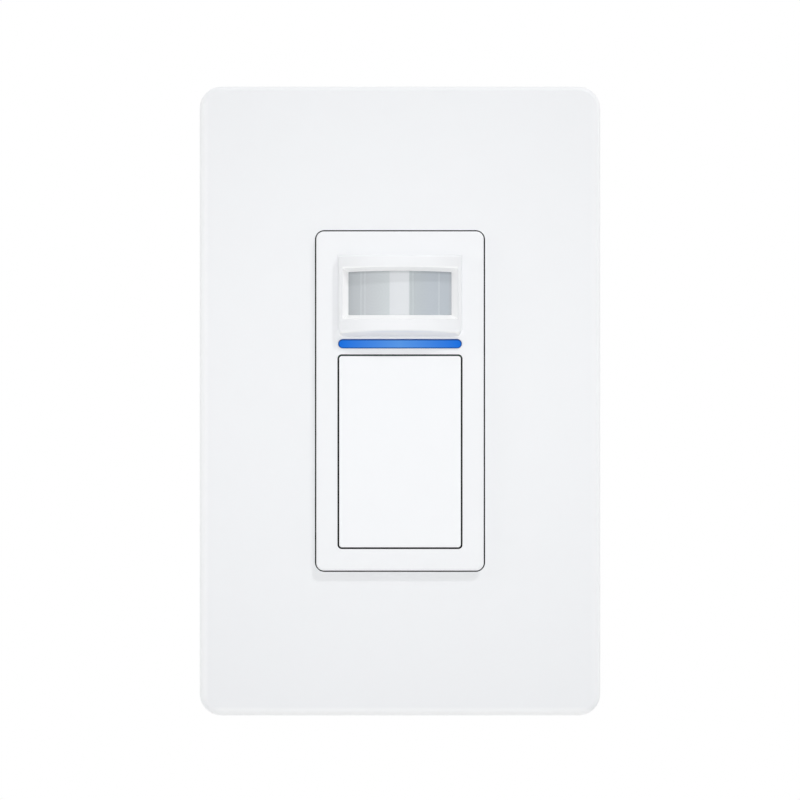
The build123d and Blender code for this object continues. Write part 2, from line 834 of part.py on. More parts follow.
def pir_sensor_window():
    border = 0.5
    thickness = 0.5
    front = can_front + can_shell
    return block(-can_window_width / 2 - border, can_window_width / 2 + border, front,
                 front + thickness, sensor_z - can_window_height / 2 - border,
                 sensor_z + can_window_height / 2 + border)


def pir_sensor_base():
    plug_front = -0.4
    lead_rear = 3.6
    element_front = -1.6
    element_half_width = 1.8
    element_half_height = 1.1
    body = rod_y(0, sensor_z, can_flange_radius, can_flange_front, board_front)
    body = body + rod_y(0, sensor_z, can_radius - can_shell - seat_gap, plug_front,
                        can_flange_front)
    body = body + block(-element_half_width, element_half_width, element_front, plug_front,
                        sensor_z - element_half_height, sensor_z + element_half_height)
    for x, z in lead_spots():
        body = body + rod_y(x, z, lead_radius, board_front, lead_rear)
    return body


tact_half = 3.1
tact_front = -2.4
tact_pocket = 0.0


def tact_switch_body():
    edge = 0.3
    rivet_spot = 2.3
    rivet_radius = 0.45
    rivet_height = 0.2
    leg_width = 0.7
    leg_thickness = 0.3
    leg_reach = 3.55
    body = block(-tact_half, tact_half, tact_front, board_front,
                 plunger_z - tact_half, plunger_z + tact_half)
    body = chamfer(body.edges().filter_by(Axis.Y), edge)
    body = body - rod_y(0, plunger_z, plunger_radius + running_gap, tact_front - cut_over,
                        tact_pocket)
    for sx in (-1, 1):
        for sz in (-1, 1):
            body = body + rod_y(sx * rivet_spot, plunger_z + sz * rivet_spot, rivet_radius,
                                tact_front - rivet_height, tact_front + rivet_height)
            body = body + block(sx * tact_half / 2, sx * leg_reach, board_front - leg_thickness,
                                board_front, plunger_z + sz * tact_leg_z - leg_width / 2,
                                plunger_z + sz * tact_leg_z + leg_width / 2)
    return body


def tact_switch_plunger():
    edge_round = 0.3
    stem_rear = -0.5
    body = rod_y(0, plunger_z, plunger_radius, plunger_top, stem_rear)
    return round_front(body, edge_round)


def status_leds():
    columns = (-8.0, 0.0, 8.0)
    half_width = 1.0
    half_height = 0.6
    base_height = 0.4
    dome_half_width = 0.7
    dome_height = 0.35
    lights = []
    for x in columns:
        base = block(x - half_width, x + half_width, board_front - base_height, board_front,
                     bar_z - half_height, bar_z + half_height)
        dome = block(x - dome_half_width, x + dome_half_width,
                     board_front - base_height - dome_height, board_front - base_height,
                     bar_z - half_height, bar_z + half_height)
        lights.append(base + dome)
    return Compound(children=lights)


def legged_chip(x, z, half_width, half_height, front, height, leg_count, pitch, reach):
    # Small package standing on a board's rear face, with bent legs along both sides
    leg_width = 0.4
    leg_thickness = 0.2
    rise_share = 0.5
    stand_off = 0.1
    body = block(x - half_width, x + half_width, front + stand_off, front + height,
                 z - half_height, z + half_height)
    for side in (-1, 1):
        inner = x + side * (half_width - leg_width)
        knee = x + side * (half_width + reach / 2)
        outer = x + side * (half_width + reach)
        shoulder = front + height * rise_share
        for number in range(leg_count):
            middle = z + (number - (leg_count - 1) / 2) * pitch
            low = middle - leg_width / 2
            high = middle + leg_width / 2
            body = body + block(inner, knee, shoulder, shoulder + leg_thickness, low, high)
            body = body + block(knee - side * leg_thickness, knee, front,
                                shoulder + leg_thickness, low, high)
            body = body + block(knee - side * leg_thickness, outer, front,
                                front + leg_thickness, low, high)
    return body


def controller_chip():
    half_width = 3.0
    half_height = 5.0
    height = 1.6
    leg_count = 7
    pitch = 1.27
    reach = 1.0
    chip_x = 3.0
    chip_z = 4.0
    return legged_chip(chip_x, chip_z, half_width, half_height, board_rear, height,
                       leg_count, pitch, reach)


def link_header():
    half_height = 1.25
    height = 2.5
    half_length = header_count * header_pitch / 2
    body = block(-half_length, half_length, board_rear, board_rear + height,
                 header_z - half_height, header_z + half_height)
    for x in header_spots:
        body = body - rod_y(x, header_z, header_body_hole, board_front, power_front)
    return body


def link_pins():
    front = 0.8
    stub = 0.8
    pins = []
    for x in header_spots:
        pins.append(block(x - header_pin, x + header_pin, front, power_rear + stub,
                          header_z - header_pin, header_z + header_pin))
    return Compound(children=pins)


# Rear housing
pillar_radius = 3.2
ledge_reach = 3.8
ledge_inner = housing_width / 2 - ledge_reach
ledge_half = 1.5
ledge_rear = 12.0
ledge_rows = (24.0, 4.0)
standoff_x = 8.5
standoff_inset_z = 6.0
standoff_z = housing_height / 2 - standoff_inset_z
standoff_radius = 1.6
inner_wall_x = terminal_floor - housing_wall
leg_thickness = 1.2
leg_half = 2.0
leg_length = 4.4
leg_front = power_front - leg_thickness
leg_end = terminal_floor - leg_length


def rear_housing():
    corner = 2.5
    rear_round = 2.0
    inner_corner = 1.2
    counterbore = 2.6
    pocket_front = -1.0
    pocket_rear = 12.6
    pocket_half = 5.2
    pocket_depth = 4.5
    pocket_wall = 1.5
    panel_width = 22.0
    panel_height = 44.0
    panel_corner = 1.5
    panel_depth = 0.4
    gauge_width = 1.6
    gauge_length = 12.0
    gauge_depth = 0.6
    half_x = housing_width / 2
    half_z = housing_height / 2
    pocket_x = pocket_depth - half_x
    body = slab(rounded(housing_width, housing_height, corner), wall_level, housing_depth)
    body = round_rear(body, rear_round)
    hollow = slab(rounded(housing_width - 2 * housing_wall, housing_height - 2 * housing_wall,
                          inner_corner), wall_level - cut_over, housing_floor)
    body = body - hollow
    for side in (-1, 1):
        for across in (-1, 1):
            pillar = rod_y(across * long_screw_x, side * long_screw_z, pillar_radius,
                           wall_level, housing_depth)
            pillar = pillar & block(-half_x + housing_wall / 2, half_x - housing_wall / 2,
                                    wall_level, housing_floor + housing_wall / 2,
                                    -half_z + housing_wall / 2, half_z - housing_wall / 2)
            body = body + pillar
            body = body + rod_y(across * standoff_x, side * standoff_z, standoff_radius,
                                power_rear, housing_floor + housing_wall / 2)
        for z in ledge_rows:
            body = body + block(side * ledge_inner, side * (half_x - housing_wall / 2),
                                board_rear, ledge_rear, z - ledge_half, z + ledge_half)
    for side, z in terminals.values():
        body = body + block(side * inner_wall_x, side * (half_x - housing_wall / 2),
                            recess_front - housing_wall, housing_floor + housing_wall / 2,
                            z - recess_half_height - housing_wall,
                            z + recess_half_height + housing_wall)
    body = body + block(pocket_x + pocket_wall, -half_x + housing_wall / 2, wall_level,
                        pocket_rear + pocket_wall, ground_z - pocket_half - pocket_wall,
                        ground_z + pocket_half + pocket_wall)
    for side, z in terminals.values():
        body = body - block(side * terminal_floor, side * (half_x + cut_over), recess_front,
                            recess_rear, z - recess_half_height, z + recess_half_height)
        body = body - rod_x(terminal_y, z, terminal_screw_radius + easy_gap,
                            side * (inner_wall_x - cut_over), side * (terminal_floor + cut_over))
        body = body - block(side * (inner_wall_x - cut_over), side * (terminal_floor + easy_gap),
                            leg_front - easy_gap / 2, power_front + easy_gap / 2,
                            z - leg_half - easy_gap, z + leg_half + easy_gap)
        hole_x = side * wire_hole_x
        hole_z = z + wire_hole_offset
        body = body - rod_y(hole_x, hole_z, wire_hole_radius, recess_rear - cut_over,
                            housing_depth + cut_over)
        body = body - block(side * (wire_hole_x + wire_hole_radius * 2) - gauge_width / 2,
                            side * (wire_hole_x + wire_hole_radius * 2) + gauge_width / 2,
                            housing_depth - gauge_depth, housing_depth + cut_over,
                            z - recess_half_height, z - recess_half_height + gauge_length / 2)
    body = body - block(-half_x - cut_over, pocket_x, pocket_front, pocket_rear,
                        ground_z - pocket_half, ground_z + pocket_half)
    for side in (-1, 1):
        for across in (-1, 1):
            x = across * long_screw_x
            z = side * long_screw_z
            body = body - rod_y(x, z, long_screw_radius + easy_gap, wall_level - cut_over,
                                housing_depth)
            body = body - rod_y(x, z, counterbore, long_screw_seat, housing_depth + cut_over)
    panel = slab(rounded(panel_width, panel_height, panel_corner),
                 housing_depth - panel_depth, housing_depth + cut_over)
    return body - panel


def housing_screws():
    head_edge = 0.4
    tip_chamfer = 0.5
    slot_length = 3.6
    slot_width = 0.7
    slot_depth = 0.9
    screws = []
    for side in (-1, 1):
        for across in (-1, 1):
            x = across * long_screw_x
            z = side * long_screw_z
            head_rear = long_screw_seat + long_screw_head_height
            head = rod_y(x, z, long_screw_head_radius, long_screw_seat, head_rear)
            head = chamfer(head.edges().group_by(Axis.Y)[-1], head_edge)
            shank = rod_y(x, z, long_screw_radius, long_screw_tip, long_screw_seat)
            shank = chamfer(shank.edges().group_by(Axis.Y)[0], tip_chamfer)
            slots = cross_slot(x, z, slot_length, slot_width, head_rear, slot_depth)
            slots = Pos(0, -slot_depth, 0) * slots
            screws.append(head + shank - (slots & rod_y(x, z, slot_length, head_rear - slot_depth,
                                                        head_rear + cut_over)))
    return Compound(children=screws)


def power_board():
    side_gap = 0.4
    end_inset = 4.0
    half_width = inner_wall_x - side_gap
    half_height = housing_height / 2 - end_inset
    corner = 1.0
    body = slab(rounded(2 * half_width, 2 * half_height, corner), power_front, power_rear)
    for x in header_spots:
        body = body - rod_y(x, header_z, header_hole, power_front - cut_over,
                            power_rear + cut_over)
    return body


def relay():
    x0 = -9.2
    x1 = 0.8
    z0 = 8.6
    z1 = 26.8
    height_share = 0.72
    edge = 0.6
    top_edge = 0.3
    vent_radius = 0.6
    vent_height = 0.3
    vent_inset = 1.8
    front = power_front - stack_height * height_share
    body = block(x0, x1, front, power_front, z0, z1)
    body = fillet(body.edges().filter_by(Axis.Y), edge)
    body = chamfer(body.edges().group_by(Axis.Y)[0], top_edge)
    return body + rod_y(x0 + vent_inset, z0 + vent_inset, vent_radius, front - vent_height, front)


core_x0 = 2.7
core_x1 = 7.7
core_z0 = 9.6
core_z1 = 23.4
core_share = 0.6
core_stand = 1.4
core_front = power_front - stack_height * core_share
core_rear = power_front - core_stand
core_limb = 2.2
core_middle_z = (core_z0 + core_z1) / 2


def core_windows():
    windows = []
    for side in (-1, 1):
        near = core_middle_z + side * core_limb
        far = core_middle_z + side * ((core_z1 - core_z0) / 2 - core_limb)
        windows.append(block(core_x0 - cut_over, core_x1 + cut_over, core_front + core_limb,
                             core_rear - core_limb, near, far))
    return windows[0] + windows[1]


def transformer_core():
    edge = 0.3
    body = block(core_x0, core_x1, core_front, core_rear, core_z0, core_z1)
    body = chamfer(body.edges().filter_by(Axis.X), edge)
    return body - core_windows()


def transformer_bobbin():
    side_reach = 1.6
    flange = 0.8
    winding_inset = 0.6
    gap = 0.1
    near = core_limb + gap
    far = (core_z1 - core_z0) / 2 - core_limb - gap
    y0 = core_front + core_limb + gap
    y1 = core_rear - core_limb - gap
    foot_half = 4.2
    foot_front = core_rear
    tube = block(core_x0 - side_reach, core_x1 + side_reach, y0, y1,
                 core_middle_z - far, core_middle_z + far)
    waist = block(core_x0 - side_reach - cut_over, core_x1 + side_reach + cut_over,
                  y0 + flange, y1 - flange, core_middle_z - far - cut_over,
                  core_middle_z + far + cut_over)
    winding = slab(rounded(core_x1 - core_x0 + 2 * (side_reach - winding_inset),
                           2 * (far - winding_inset), winding_inset * 2,
                           (core_x0 + core_x1) / 2, core_middle_z), y0 + flange, y1 - flange)
    spool = (tube - waist) + winding
    bore = block(core_x0 - gap, core_x1 + gap, y0 - cut_over, y1 + cut_over,
                 core_middle_z - near, core_middle_z + near)
    foot = block(core_x0 - side_reach, core_x1 + side_reach, foot_front, power_front,
                 core_middle_z - foot_half, core_middle_z + foot_half)
    body = spool - bore
    legs = []
    for side in (-1, 1):
        x_near = core_x0 - side_reach if side < 0 else core_x1 + gap
        x_far = core_x0 - gap if side < 0 else core_x1 + side_reach
        legs.append(block(x_near, x_far, y1 - flange, foot_front,
                          core_middle_z - foot_half, core_middle_z + foot_half))
    return body + foot + legs[0] + legs[1]


def capacitor_can(x, z, radius, front):
    # Turned profile: crimp near the board and a rounded top with a scored vent
    edge_round = 0.5
    crimp = 0.35
    crimp_share = 0.82
    crimp_height = 1.0
    vent_width = 0.3
    vent_depth = 0.2
    height = power_front - front
    crimp_y = front + height * crimp_share
    body = round_front(rod_y(x, z, radius, front, power_front), edge_round)
    ring = rod_y(x, z, radius + cut_over, crimp_y, crimp_y + crimp_height)
    ring = ring - rod_y(x, z, radius - crimp, crimp_y - cut_over, crimp_y + crimp_height + cut_over)
    body = body - ring
    return body - cross_slot(x, z, radius, vent_width, front, vent_depth)


def filter_capacitors():
    spots = ((-6.4, 2.2), (-6.4, -7.0))
    radius = 4.0
    height_share = 0.54
    front = power_front - stack_height * height_share
    return Compound(children=[capacitor_can(x, z, radius, front) for x, z in spots])


def film_capacitor():
    x0 = -9.4
    x1 = 3.6
    z0 = -20.2
    z1 = -14.7
    height_share = 0.5
    edge_round = 0.5
    front = power_front - stack_height * height_share
    body = block(x0, x1, front, power_front, z0, z1)
    body = fillet(body.edges().filter_by(Axis.Y), edge_round)
    return round_front(body, edge_round)


def varistor():
    radius = 4.4
    half_thickness = 1.6
    x = 5.6
    z = -9.2
    edge = 0.7
    lead = 0.35
    lead_offset = 2.5
    middle_y = power_front - radius - cut_over
    disc = rod_z(x, middle_y, radius, z - half_thickness, z + half_thickness)
    disc = chamfer(disc.edges().filter_by(GeomType.CIRCLE), edge)
    for side in (-1, 1):
        disc = disc + rod_y(x + side * lead_offset, z, lead, middle_y, power_front)
    return disc


def fuse_resistor():
    radius = 1.5
    half_length = 3.6
    x = 5.6
    z = 2.6
    lead = 0.35
    reach = 1.6
    bend = 0.8
    end_edge = 0.5
    axis_y = power_front - radius
    body = rod_x(axis_y, z, radius, x - half_length, x + half_length)
    body = chamfer(body.edges().filter_by(GeomType.CIRCLE), end_edge)
    for side in (-1, 1):
        start = x + side * half_length / 2
        end = x + side * (half_length + reach)
        path = FilletPolyline((start, axis_y), (end, axis_y), (end, power_front), radius=bend)
        path = Pos(0, 0, z) * path
        round_wire = Plane(origin=path @ 0, z_dir=path % 0) * Circle(lead)
        body = body + sweep(round_wire, path=path)
    return body


def bridge_rectifier():
    x = 5.4
    z = -2.6
    half_width = 2.4
    half_height = 2.0
    height = 2.4
    leg_half = 0.4
    leg_thickness = 0.25
    leg_reach = 3.3
    leg_offset = 1.27
    body = block(x - half_width, x + half_width, power_front - height, power_front,
                 z - half_height, z + half_height)
    for side in (-1, 1):
        for row in (-1, 1):
            middle = z + row * leg_offset
            body = body + block(x + side * half_width / 2, x + side * leg_reach,
                                power_front - leg_thickness, power_front,
                                middle - leg_half, middle + leg_half)
    return body


def terminal_bracket(side, z):
    half_height = 4.5
    margin = 1.2
    corner_cut = 1.0
    front = recess_front + margin
    rear = recess_rear - margin
    outer = terminal_floor + bracket_thickness
    plate = block(side * terminal_floor, side * outer, front, rear,
                  z - half_height, z + half_height)
    plate = chamfer(plate.edges().filter_by(Axis.X), corner_cut)
    leg = block(side * leg_end, side * (terminal_floor + bracket_thickness / 2),
                leg_front, power_front, z - leg_half, z + leg_half)
    body = plate + leg
    return body - rod_x(terminal_y, z, terminal_screw_radius + running_gap,
                        side * (terminal_floor - cut_over), side * (outer + cut_over))


clamp_half = 4.4
clamp_open = 3.5
clamp_thickness = 1.2
clamp_inner = terminal_floor + clamp_open
clamp_outer = clamp_inner + clamp_thickness


def clamp_plate(side, z):
    groove = 0.3
    groove_width = 0.6
    groove_rows = (-3.2, 3.2)
    corner_cut = 0.8
    body = block(side * clamp_inner, side * clamp_outer, terminal_y - clamp_half,
                 terminal_y + clamp_half, z - clamp_half, z + clamp_half)
    body = chamfer(body.edges().filter_by(Axis.X), corner_cut)
    body = body - rod_x(terminal_y, z, terminal_screw_radius + running_gap,
                        side * (clamp_inner - cut_over), side * (clamp_outer + cut_over))
    for row in groove_rows:
        body = body - block(side * (clamp_inner - cut_over), side * (clamp_inner + groove),
                            terminal_y + row - groove_width / 2,
                            terminal_y + row + groove_width / 2,
                            z - clamp_half - cut_over, z + clamp_half + cut_over)
    return body


def terminal_screw(side, z):
    head_radius = 3.7
    head_height = 2.1
    head_round = 0.5
    tip_reach = 1.0
    tip_chamfer = 0.5
    slot_length = 5.6
    slot_width = 0.9
    slot_depth = 0.9
    head_end = clamp_outer + head_height
    head = rod_x(terminal_y, z, head_radius, clamp_outer, head_end)
    outer_edges = head.edges().filter_by(GeomType.CIRCLE).sort_by(Axis.X)
    head = fillet(outer_edges[-1], head_round)
    shank = rod_x(terminal_y, z, terminal_screw_radius, terminal_floor - tip_reach, clamp_outer)
    tip_edges = shank.edges().filter_by(GeomType.CIRCLE).sort_by(Axis.X)
    shank = chamfer(tip_edges[0], tip_chamfer)
    slot = block(head_end - slot_depth, head_end + cut_over, terminal_y - slot_length / 2,
                 terminal_y + slot_length / 2, z - slot_width / 2, z + slot_width / 2)
    level = block(head_end - slot_depth, head_end + cut_over, terminal_y - slot_width / 2,
                  terminal_y + slot_width / 2, z - slot_length / 2, z + slot_length / 2)
    body = head + shank - slot - level
    return body if side > 0 else mirror(body, about=Plane.YZ)


pieces = {
    "wall_plate_cover": wall_plate_cover,
    "wall_plate_base": wall_plate_base,
    "base_plate_screws": base_plate_screws,
    "yoke": yoke,
    "box_screws": box_screws,
    "ground_screw": ground_screw,
    "front_frame": front_frame,
    "fresnel_lens": fresnel_lens,
    "lens_retainer": lens_retainer,
    "light_pipe": light_pipe,
    "paddle": paddle,
    "paddle_spring": paddle_spring,
    "inner_carrier": inner_carrier,
    "control_board": control_board,
    "pir_sensor_can": pir_sensor_can,
    "pir_sensor_window": pir_sensor_window,
    "pir_sensor_base": pir_sensor_base,
    "tact_switch_body": tact_switch_body,
    "tact_switch_plunger": tact_switch_plunger,
    "status_leds": status_leds,
    "controller_chip": controller_chip,
    "link_header": link_header,
    "link_pins": link_pins,
    "rear_housing": rear_housing,
    "housing_screws": housing_screws,
    "power_board": power_board,
    "relay": relay,
    "transformer_core": transformer_core,
    "transformer_bobbin": transformer_bobbin,
    "filter_capacitors": filter_capacitors,
    "film_capacitor": film_capacitor,
    "varistor": varistor,
    "fuse_resistor": fuse_resistor,
    "bridge_rectifier": bridge_rectifier,
}

os.makedirs("parts", exist_ok=True)
for name, make in pieces.items():
    export_step(make(), "parts/" + name + ".step")
for name, (side, z) in terminals.items():
    export_step(terminal_bracket(side, z), "parts/" + name + "_bracket.step")
    export_step(clamp_plate(side, z), "parts/" + name + "_clamp_plate.step")
    export_step(terminal_screw(side, z), "parts/" + name + "_screw.step")
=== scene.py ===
import math

import bmesh
import bpy
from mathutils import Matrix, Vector

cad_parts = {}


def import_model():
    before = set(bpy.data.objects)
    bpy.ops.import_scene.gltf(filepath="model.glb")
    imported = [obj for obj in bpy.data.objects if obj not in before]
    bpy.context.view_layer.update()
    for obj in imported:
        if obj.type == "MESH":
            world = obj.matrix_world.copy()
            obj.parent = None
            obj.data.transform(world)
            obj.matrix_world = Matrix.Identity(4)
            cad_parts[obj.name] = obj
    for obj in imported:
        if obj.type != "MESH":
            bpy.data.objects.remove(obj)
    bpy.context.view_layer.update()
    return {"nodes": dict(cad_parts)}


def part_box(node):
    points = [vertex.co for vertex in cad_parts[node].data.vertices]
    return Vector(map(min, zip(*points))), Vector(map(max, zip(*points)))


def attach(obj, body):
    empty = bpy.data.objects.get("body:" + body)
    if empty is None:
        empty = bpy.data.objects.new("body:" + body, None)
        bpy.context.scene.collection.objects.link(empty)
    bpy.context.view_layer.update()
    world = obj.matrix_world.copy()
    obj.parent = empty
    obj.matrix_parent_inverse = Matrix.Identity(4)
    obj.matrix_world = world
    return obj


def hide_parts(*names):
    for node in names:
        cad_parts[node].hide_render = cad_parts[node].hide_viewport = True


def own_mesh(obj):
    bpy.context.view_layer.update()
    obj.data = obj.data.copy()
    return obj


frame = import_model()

MM = 0.001
nodes = frame["nodes"]

# Camera: straight on the front, with a long lens
LENS_MM = 200.0
SENSOR_MM = 36.0
VIEW_WIDTH = 157.6 * MM
CAMERA_RISE = 0.2 * MM
CLIP_START = 0.01

# Floor, below what the camera sees and cut short behind the object
FLOOR_Z = -0.1
FLOOR_X = 0.7
FLOOR_Y = (-0.9, 0.215)

# Surrounding light, stronger from the sides than from straight ahead or behind
FILL_AHEAD = 0.33
FILL_SIDE = 0.96
FILL_TINT = (0.985, 0.993, 1.0)
SEEN_WHITE = (1, 1, 1)

# Lamps
KEY_LAMP = {"place": (0.44, -0.56, 0.98), "aim": (0, 0, 0), "size": 0.09, "watts": 3.6}
FRONT_LAMP = {"place": (-0.04, -0.95, 0.05), "aim": (0, 0, 0.01), "size": 0.26, "watts": 0.7}
LEFT_LAMP = {"place": (-0.93, -0.26, 0.27), "aim": (0, 0, 0.01), "size": 0.2, "watts": 0.65}
MIDDLE_SPOT = {"place": (0.0, -0.93, 0.03), "aim": (0, 0, 0.008), "size": 0.04, "watts": 2.8}
MIDDLE_SPOT_DEGREES = 12.0

# Depths of the front faces
PLATE_FRONT = -6.4 * MM
INSERT_FRONT = -7.7 * MM
PRESSED_DEPTH = 0.60 * MM

# Painted shade in the gaps round the insert and the paddle
SEAM_DARK = (0.02, 0.02, 0.022)
SEAM_START = 0.02 * MM
SEAM_FADE = 0.05 * MM
SEAM_REACH = 3.7 * MM
PADDLE_SEAM_START = 0.03 * MM
EVERYWHERE = 1.0
OPENING_HALF_X = 17.2 * MM
OPENING_HALF_Z = 34.1 * MM
PADDLE_HALF_X = 12.6 * MM
PADDLE_HALF_Z = 19.4 * MM
PADDLE_MIDDLE_Z = -9.97 * MM

# Painted light on the rounded edges of the plate, measured in from its outline
EDGE_START = 1.8 * MM
EDGE_END = 0.5 * MM
LOW_EDGE_SHARE = 0.95
LEFT_EDGE_SHARE = 0.6
RIGHT_EDGE_SHARE = 0.3

# Painted shade on the hood's crowned front, darker towards its sides as they turn away from the
# light
SOFT_EDGE = 0.15 * MM
HOOD_HALF_X = 12.45 * MM
HOOD_MIDDLE_Z = 21.4 * MM
HOOD_HALF_Z = 7.5 * MM
CROWN_START = 6.0 * MM
CROWN_END = 12.0 * MM
CROWN_SHADE = 0.9
CROWN_SHARE = 0.5

# Painted light on the slopes of the window in the hood
WINDOW_RIM_X = 11.38 * MM
WINDOW_RIM_Z = 5.2 * MM
SLOPE_SHARE = 0.9

# Underside of the hood: a painted warm tint that takes out the blue light the bar throws on it,
# from full to none, across and up
UNDERSIDE_PAINTED_TINT = (0.98, 0.962, 0.92)
UNDERSIDE_SHARE = 0.8
UNDERSIDE_X = (11.6 * MM, 11.9 * MM)
UNDERSIDE_Z = 13.2 * MM
UNDERSIDE_HALF_Z = (0.25 * MM, 0.45 * MM)

# Window and lens
LENS_MIDDLE_Z = 21.25 * MM
WINDOW_HALF = 10.1 * MM
WINDOW_TOP = 25.6 * MM
WINDOW_ARCH = 0.30 * MM
WINDOW_SHADE = (0.16, 0.18, 0.20)
WINDOW_SHADE_SHARE = 0.42
WINDOW_SHADE_REACH = (0.08 * MM, 0.62 * MM)
LENS_LINES = (-7.68 * MM, -6.90 * MM, 2.56 * MM, 7.68 * MM)
LENS_LINE_HALF = 0.10 * MM
LENS_LINE_TINT = (0.80, 0.84, 0.86)
LENS_LINE_SHARE = 0.22
RING_CENTRES = (-5.1 * MM, 5.2 * MM)
RING_PITCH = 0.62 * MM
RING_HALF = 2.6 * MM
RING_SHARE = 0.08
RING_SHADE = (0.37, 0.40, 0.43)
LENS_ROUGH = 0.36
LENS_IOR = 1.50

# Tones of the lens from left to right, place and colour: the lens's grey with painted light and
# shade, the middle panel lighter and the sides darker towards their ends
PANEL_LEFT = -2.04 * MM
PANEL_RIGHT = 1.82 * MM
PANEL_BLUR = 0.12 * MM
LENS_TONES = (
    (-10.4 * MM, (0.44, 0.467, 0.487)),
    (-9.0 * MM, (0.50, 0.53, 0.552)),
    (-6.0 * MM, (0.545, 0.573, 0.595)),
    (PANEL_LEFT - PANEL_BLUR, (0.575, 0.615, 0.63)),
    (PANEL_LEFT + PANEL_BLUR, (0.68, 0.70, 0.725)),
    (PANEL_RIGHT - PANEL_BLUR, (0.70, 0.722, 0.745)),
    (PANEL_RIGHT + PANEL_BLUR, (0.475, 0.517, 0.535)),
    (6.0 * MM, (0.487, 0.53, 0.575)),
    (9.4 * MM, (0.487, 0.53, 0.575)),
    (10.4 * MM, (0.45, 0.48, 0.51)))

# Lit bar
BAR_Z = 11.22 * MM
BAR_STRAIGHT = 11.27 * MM
BAR_GLOW_REACH = 12.0 * MM
BAR_OUTLINE = (0.62 * MM, 0.80 * MM)
BAR_OUTLINE_BLUE = (0.01, 0.05, 0.20)
BAR_END_BLUE = (0.006, 0.150, 0.70)
BAR_MIDDLE_BLUE = (0.095, 0.30, 0.76)
BAR_CELL_BLUE = (0.02, 0.2, 0.75)
BAR_CELL_SHARE = 0.06
BAR_BODY = (0.005, 0.01, 0.03)
BAR_ROUGH = (0.40, 0.50)
BAR_IOR = 1.1
BAR_SHINE = 0.1

# Texture, as repeats in a metre
CLOUDS = 42.0
WAVES = 55.0
PATCHES = 310.0
SPOTS = 260.0
WEAVE = 900.0
CELLS = 900.0
COPPER_LINES = 420.0
TURNS_OF_WIRE = 700.0
LENS_GRAIN = (1500.0, 1500.0, 60.0)
EVEN_BRUSH = (900.0, 900.0, 900.0)
UP_BRUSH = (60.0, 60.0, 2600.0)
SIDE_BRUSH = (2200.0, 60.0, 60.0)

# Roughness: how far it goes below and above its own value, and on the boards its limits
PLASTIC_ROUGH_RANGE = (-0.015, 0.02)
METAL_ROUGH_RANGE = (-0.08, 0.12)
BOARD_ROUGH = (0.25, 0.4)

# Colours
WHITE = (0.885, 0.893, 0.908)
PAINTED_LIGHT_WHITE = (0.99, 0.99, 0.99)
# The frame and paddle wear lighter copies of the white, as painted light
FRAME_PAINTED_LIGHT = 1.012
PADDLE_PAINTED_LIGHT = 1.035
GROOVE_SHADE = 0.8
BOARD_DARK = (0.012, 0.10, 0.042)
BOARD_LIGHT = (0.014, 0.12, 0.05)
BOARD_LINE = (0.035, 0.20, 0.085)

# Screw threads, as sizes and as shares of the ridge's height and pitch
THREAD_HEIGHT = 0.17 * MM
THREAD_PITCH = 0.79 * MM
THREAD_STEPS = 20
THREAD_ROOT = 0.3
THREAD_HALF = 0.36
THREAD_END_SHARE = 1 / 8
THREAD_START_Y = 0.6 * MM
THREAD_RUN_OUT = 0.9 * MM
SHANK = 1.75 * MM
BOX_SCREW_HEAD = 3.3 * MM
PLATE_SCREW_HEAD = 3.25 * MM

# Paddle spring, with closed end turns
WIRE_RADIUS = 0.2 * MM
SPRING_SEAT = 0.03 * MM
OPEN_TURNS = 4
END_TURNS = 0.75
END_PITCH = 2.1 * WIRE_RADIUS
COIL_STEPS = 28
WIRE_SIDES = 8


# Node helpers
def start(name):
    m = bpy.data.materials.new(name)
    m.use_nodes = True
    nt = m.node_tree
    shader = nt.nodes["Principled BSDF"]
    coords = nt.nodes.new("ShaderNodeTexCoord").outputs["Object"]
    return m, nt, shader, coords


def axis_value(nt, coords, axis):
    node = nt.nodes.new("ShaderNodeSeparateXYZ")
    nt.links.new(coords, node.inputs["Vector"])
    return node.outputs[axis]


def calc(nt, operation, a, b=None):
    node = nt.nodes.new("ShaderNodeMath")
    node.operation = operation
    for socket, value in ((node.inputs[0], a), (node.inputs[1], b)):
        if value is None:
            continue
        if isinstance(value, (int, float)):
            socket.default_value = value
        else:
            nt.links.new(value, socket)
    return node.outputs[0]


def radius_of(nt, across, up):
    squares = calc(nt, "ADD", calc(nt, "MULTIPLY", across, across), calc(nt, "MULTIPLY", up, up))
    return calc(nt, "SQRT", squares)


def span(nt, value, low, high, from_low=0.3, from_high=0.7):
    # Low at from_low, high at from_high and even between them
    node = nt.nodes.new("ShaderNodeMapRange")
    node.inputs["From Min"].default_value = from_low
    node.inputs["From Max"].default_value = from_high
    node.inputs["To Min"].default_value = low
    node.inputs["To Max"].default_value = high
    nt.links.new(value, node.inputs["Value"])
    return node.outputs["Result"]


def away_from(nt, value, centre):
    return calc(nt, "ABSOLUTE", calc(nt, "SUBTRACT", value, centre))


def near(nt, value, centre, half, fade=1.6):
    # 1 within half of the centre, falling to 0 at half times fade
    return span(nt, away_from(nt, value, centre), 1.0, 0.0, half, half * fade)


def mapped(nt, coords, scale):
    node = nt.nodes.new("ShaderNodeMapping")
    node.inputs["Scale"].default_value = scale if isinstance(scale, tuple) else (scale,) * 3
    nt.links.new(coords, node.inputs["Vector"])
    return node.outputs["Vector"]


def noise(nt, coords, scale, detail=3.0, rough=0.5):
    node = nt.nodes.new("ShaderNodeTexNoise")
    node.inputs["Scale"].default_value = 1.0
    node.inputs["Detail"].default_value = detail
    node.inputs["Roughness"].default_value = rough
    nt.links.new(mapped(nt, coords, scale), node.inputs["Vector"])
    return node.outputs["Fac"]


def blend_colour(nt, fac, a, b):
    node = nt.nodes.new("ShaderNodeMix")
    node.data_type = "RGBA"
    for socket, value in (("A", a), ("B", b)):
        target = [s for s in node.inputs if s.name == socket and s.type == "RGBA"][0]
        if isinstance(value, tuple):
            target.default_value = (*value, 1)
        else:
            nt.links.new(value, target)
    factor = [s for s in node.inputs if s.name == "Factor" and s.type == "VALUE"][0]
    nt.links.new(fac, factor)
    return [s for s in node.outputs if s.type == "RGBA"][0]


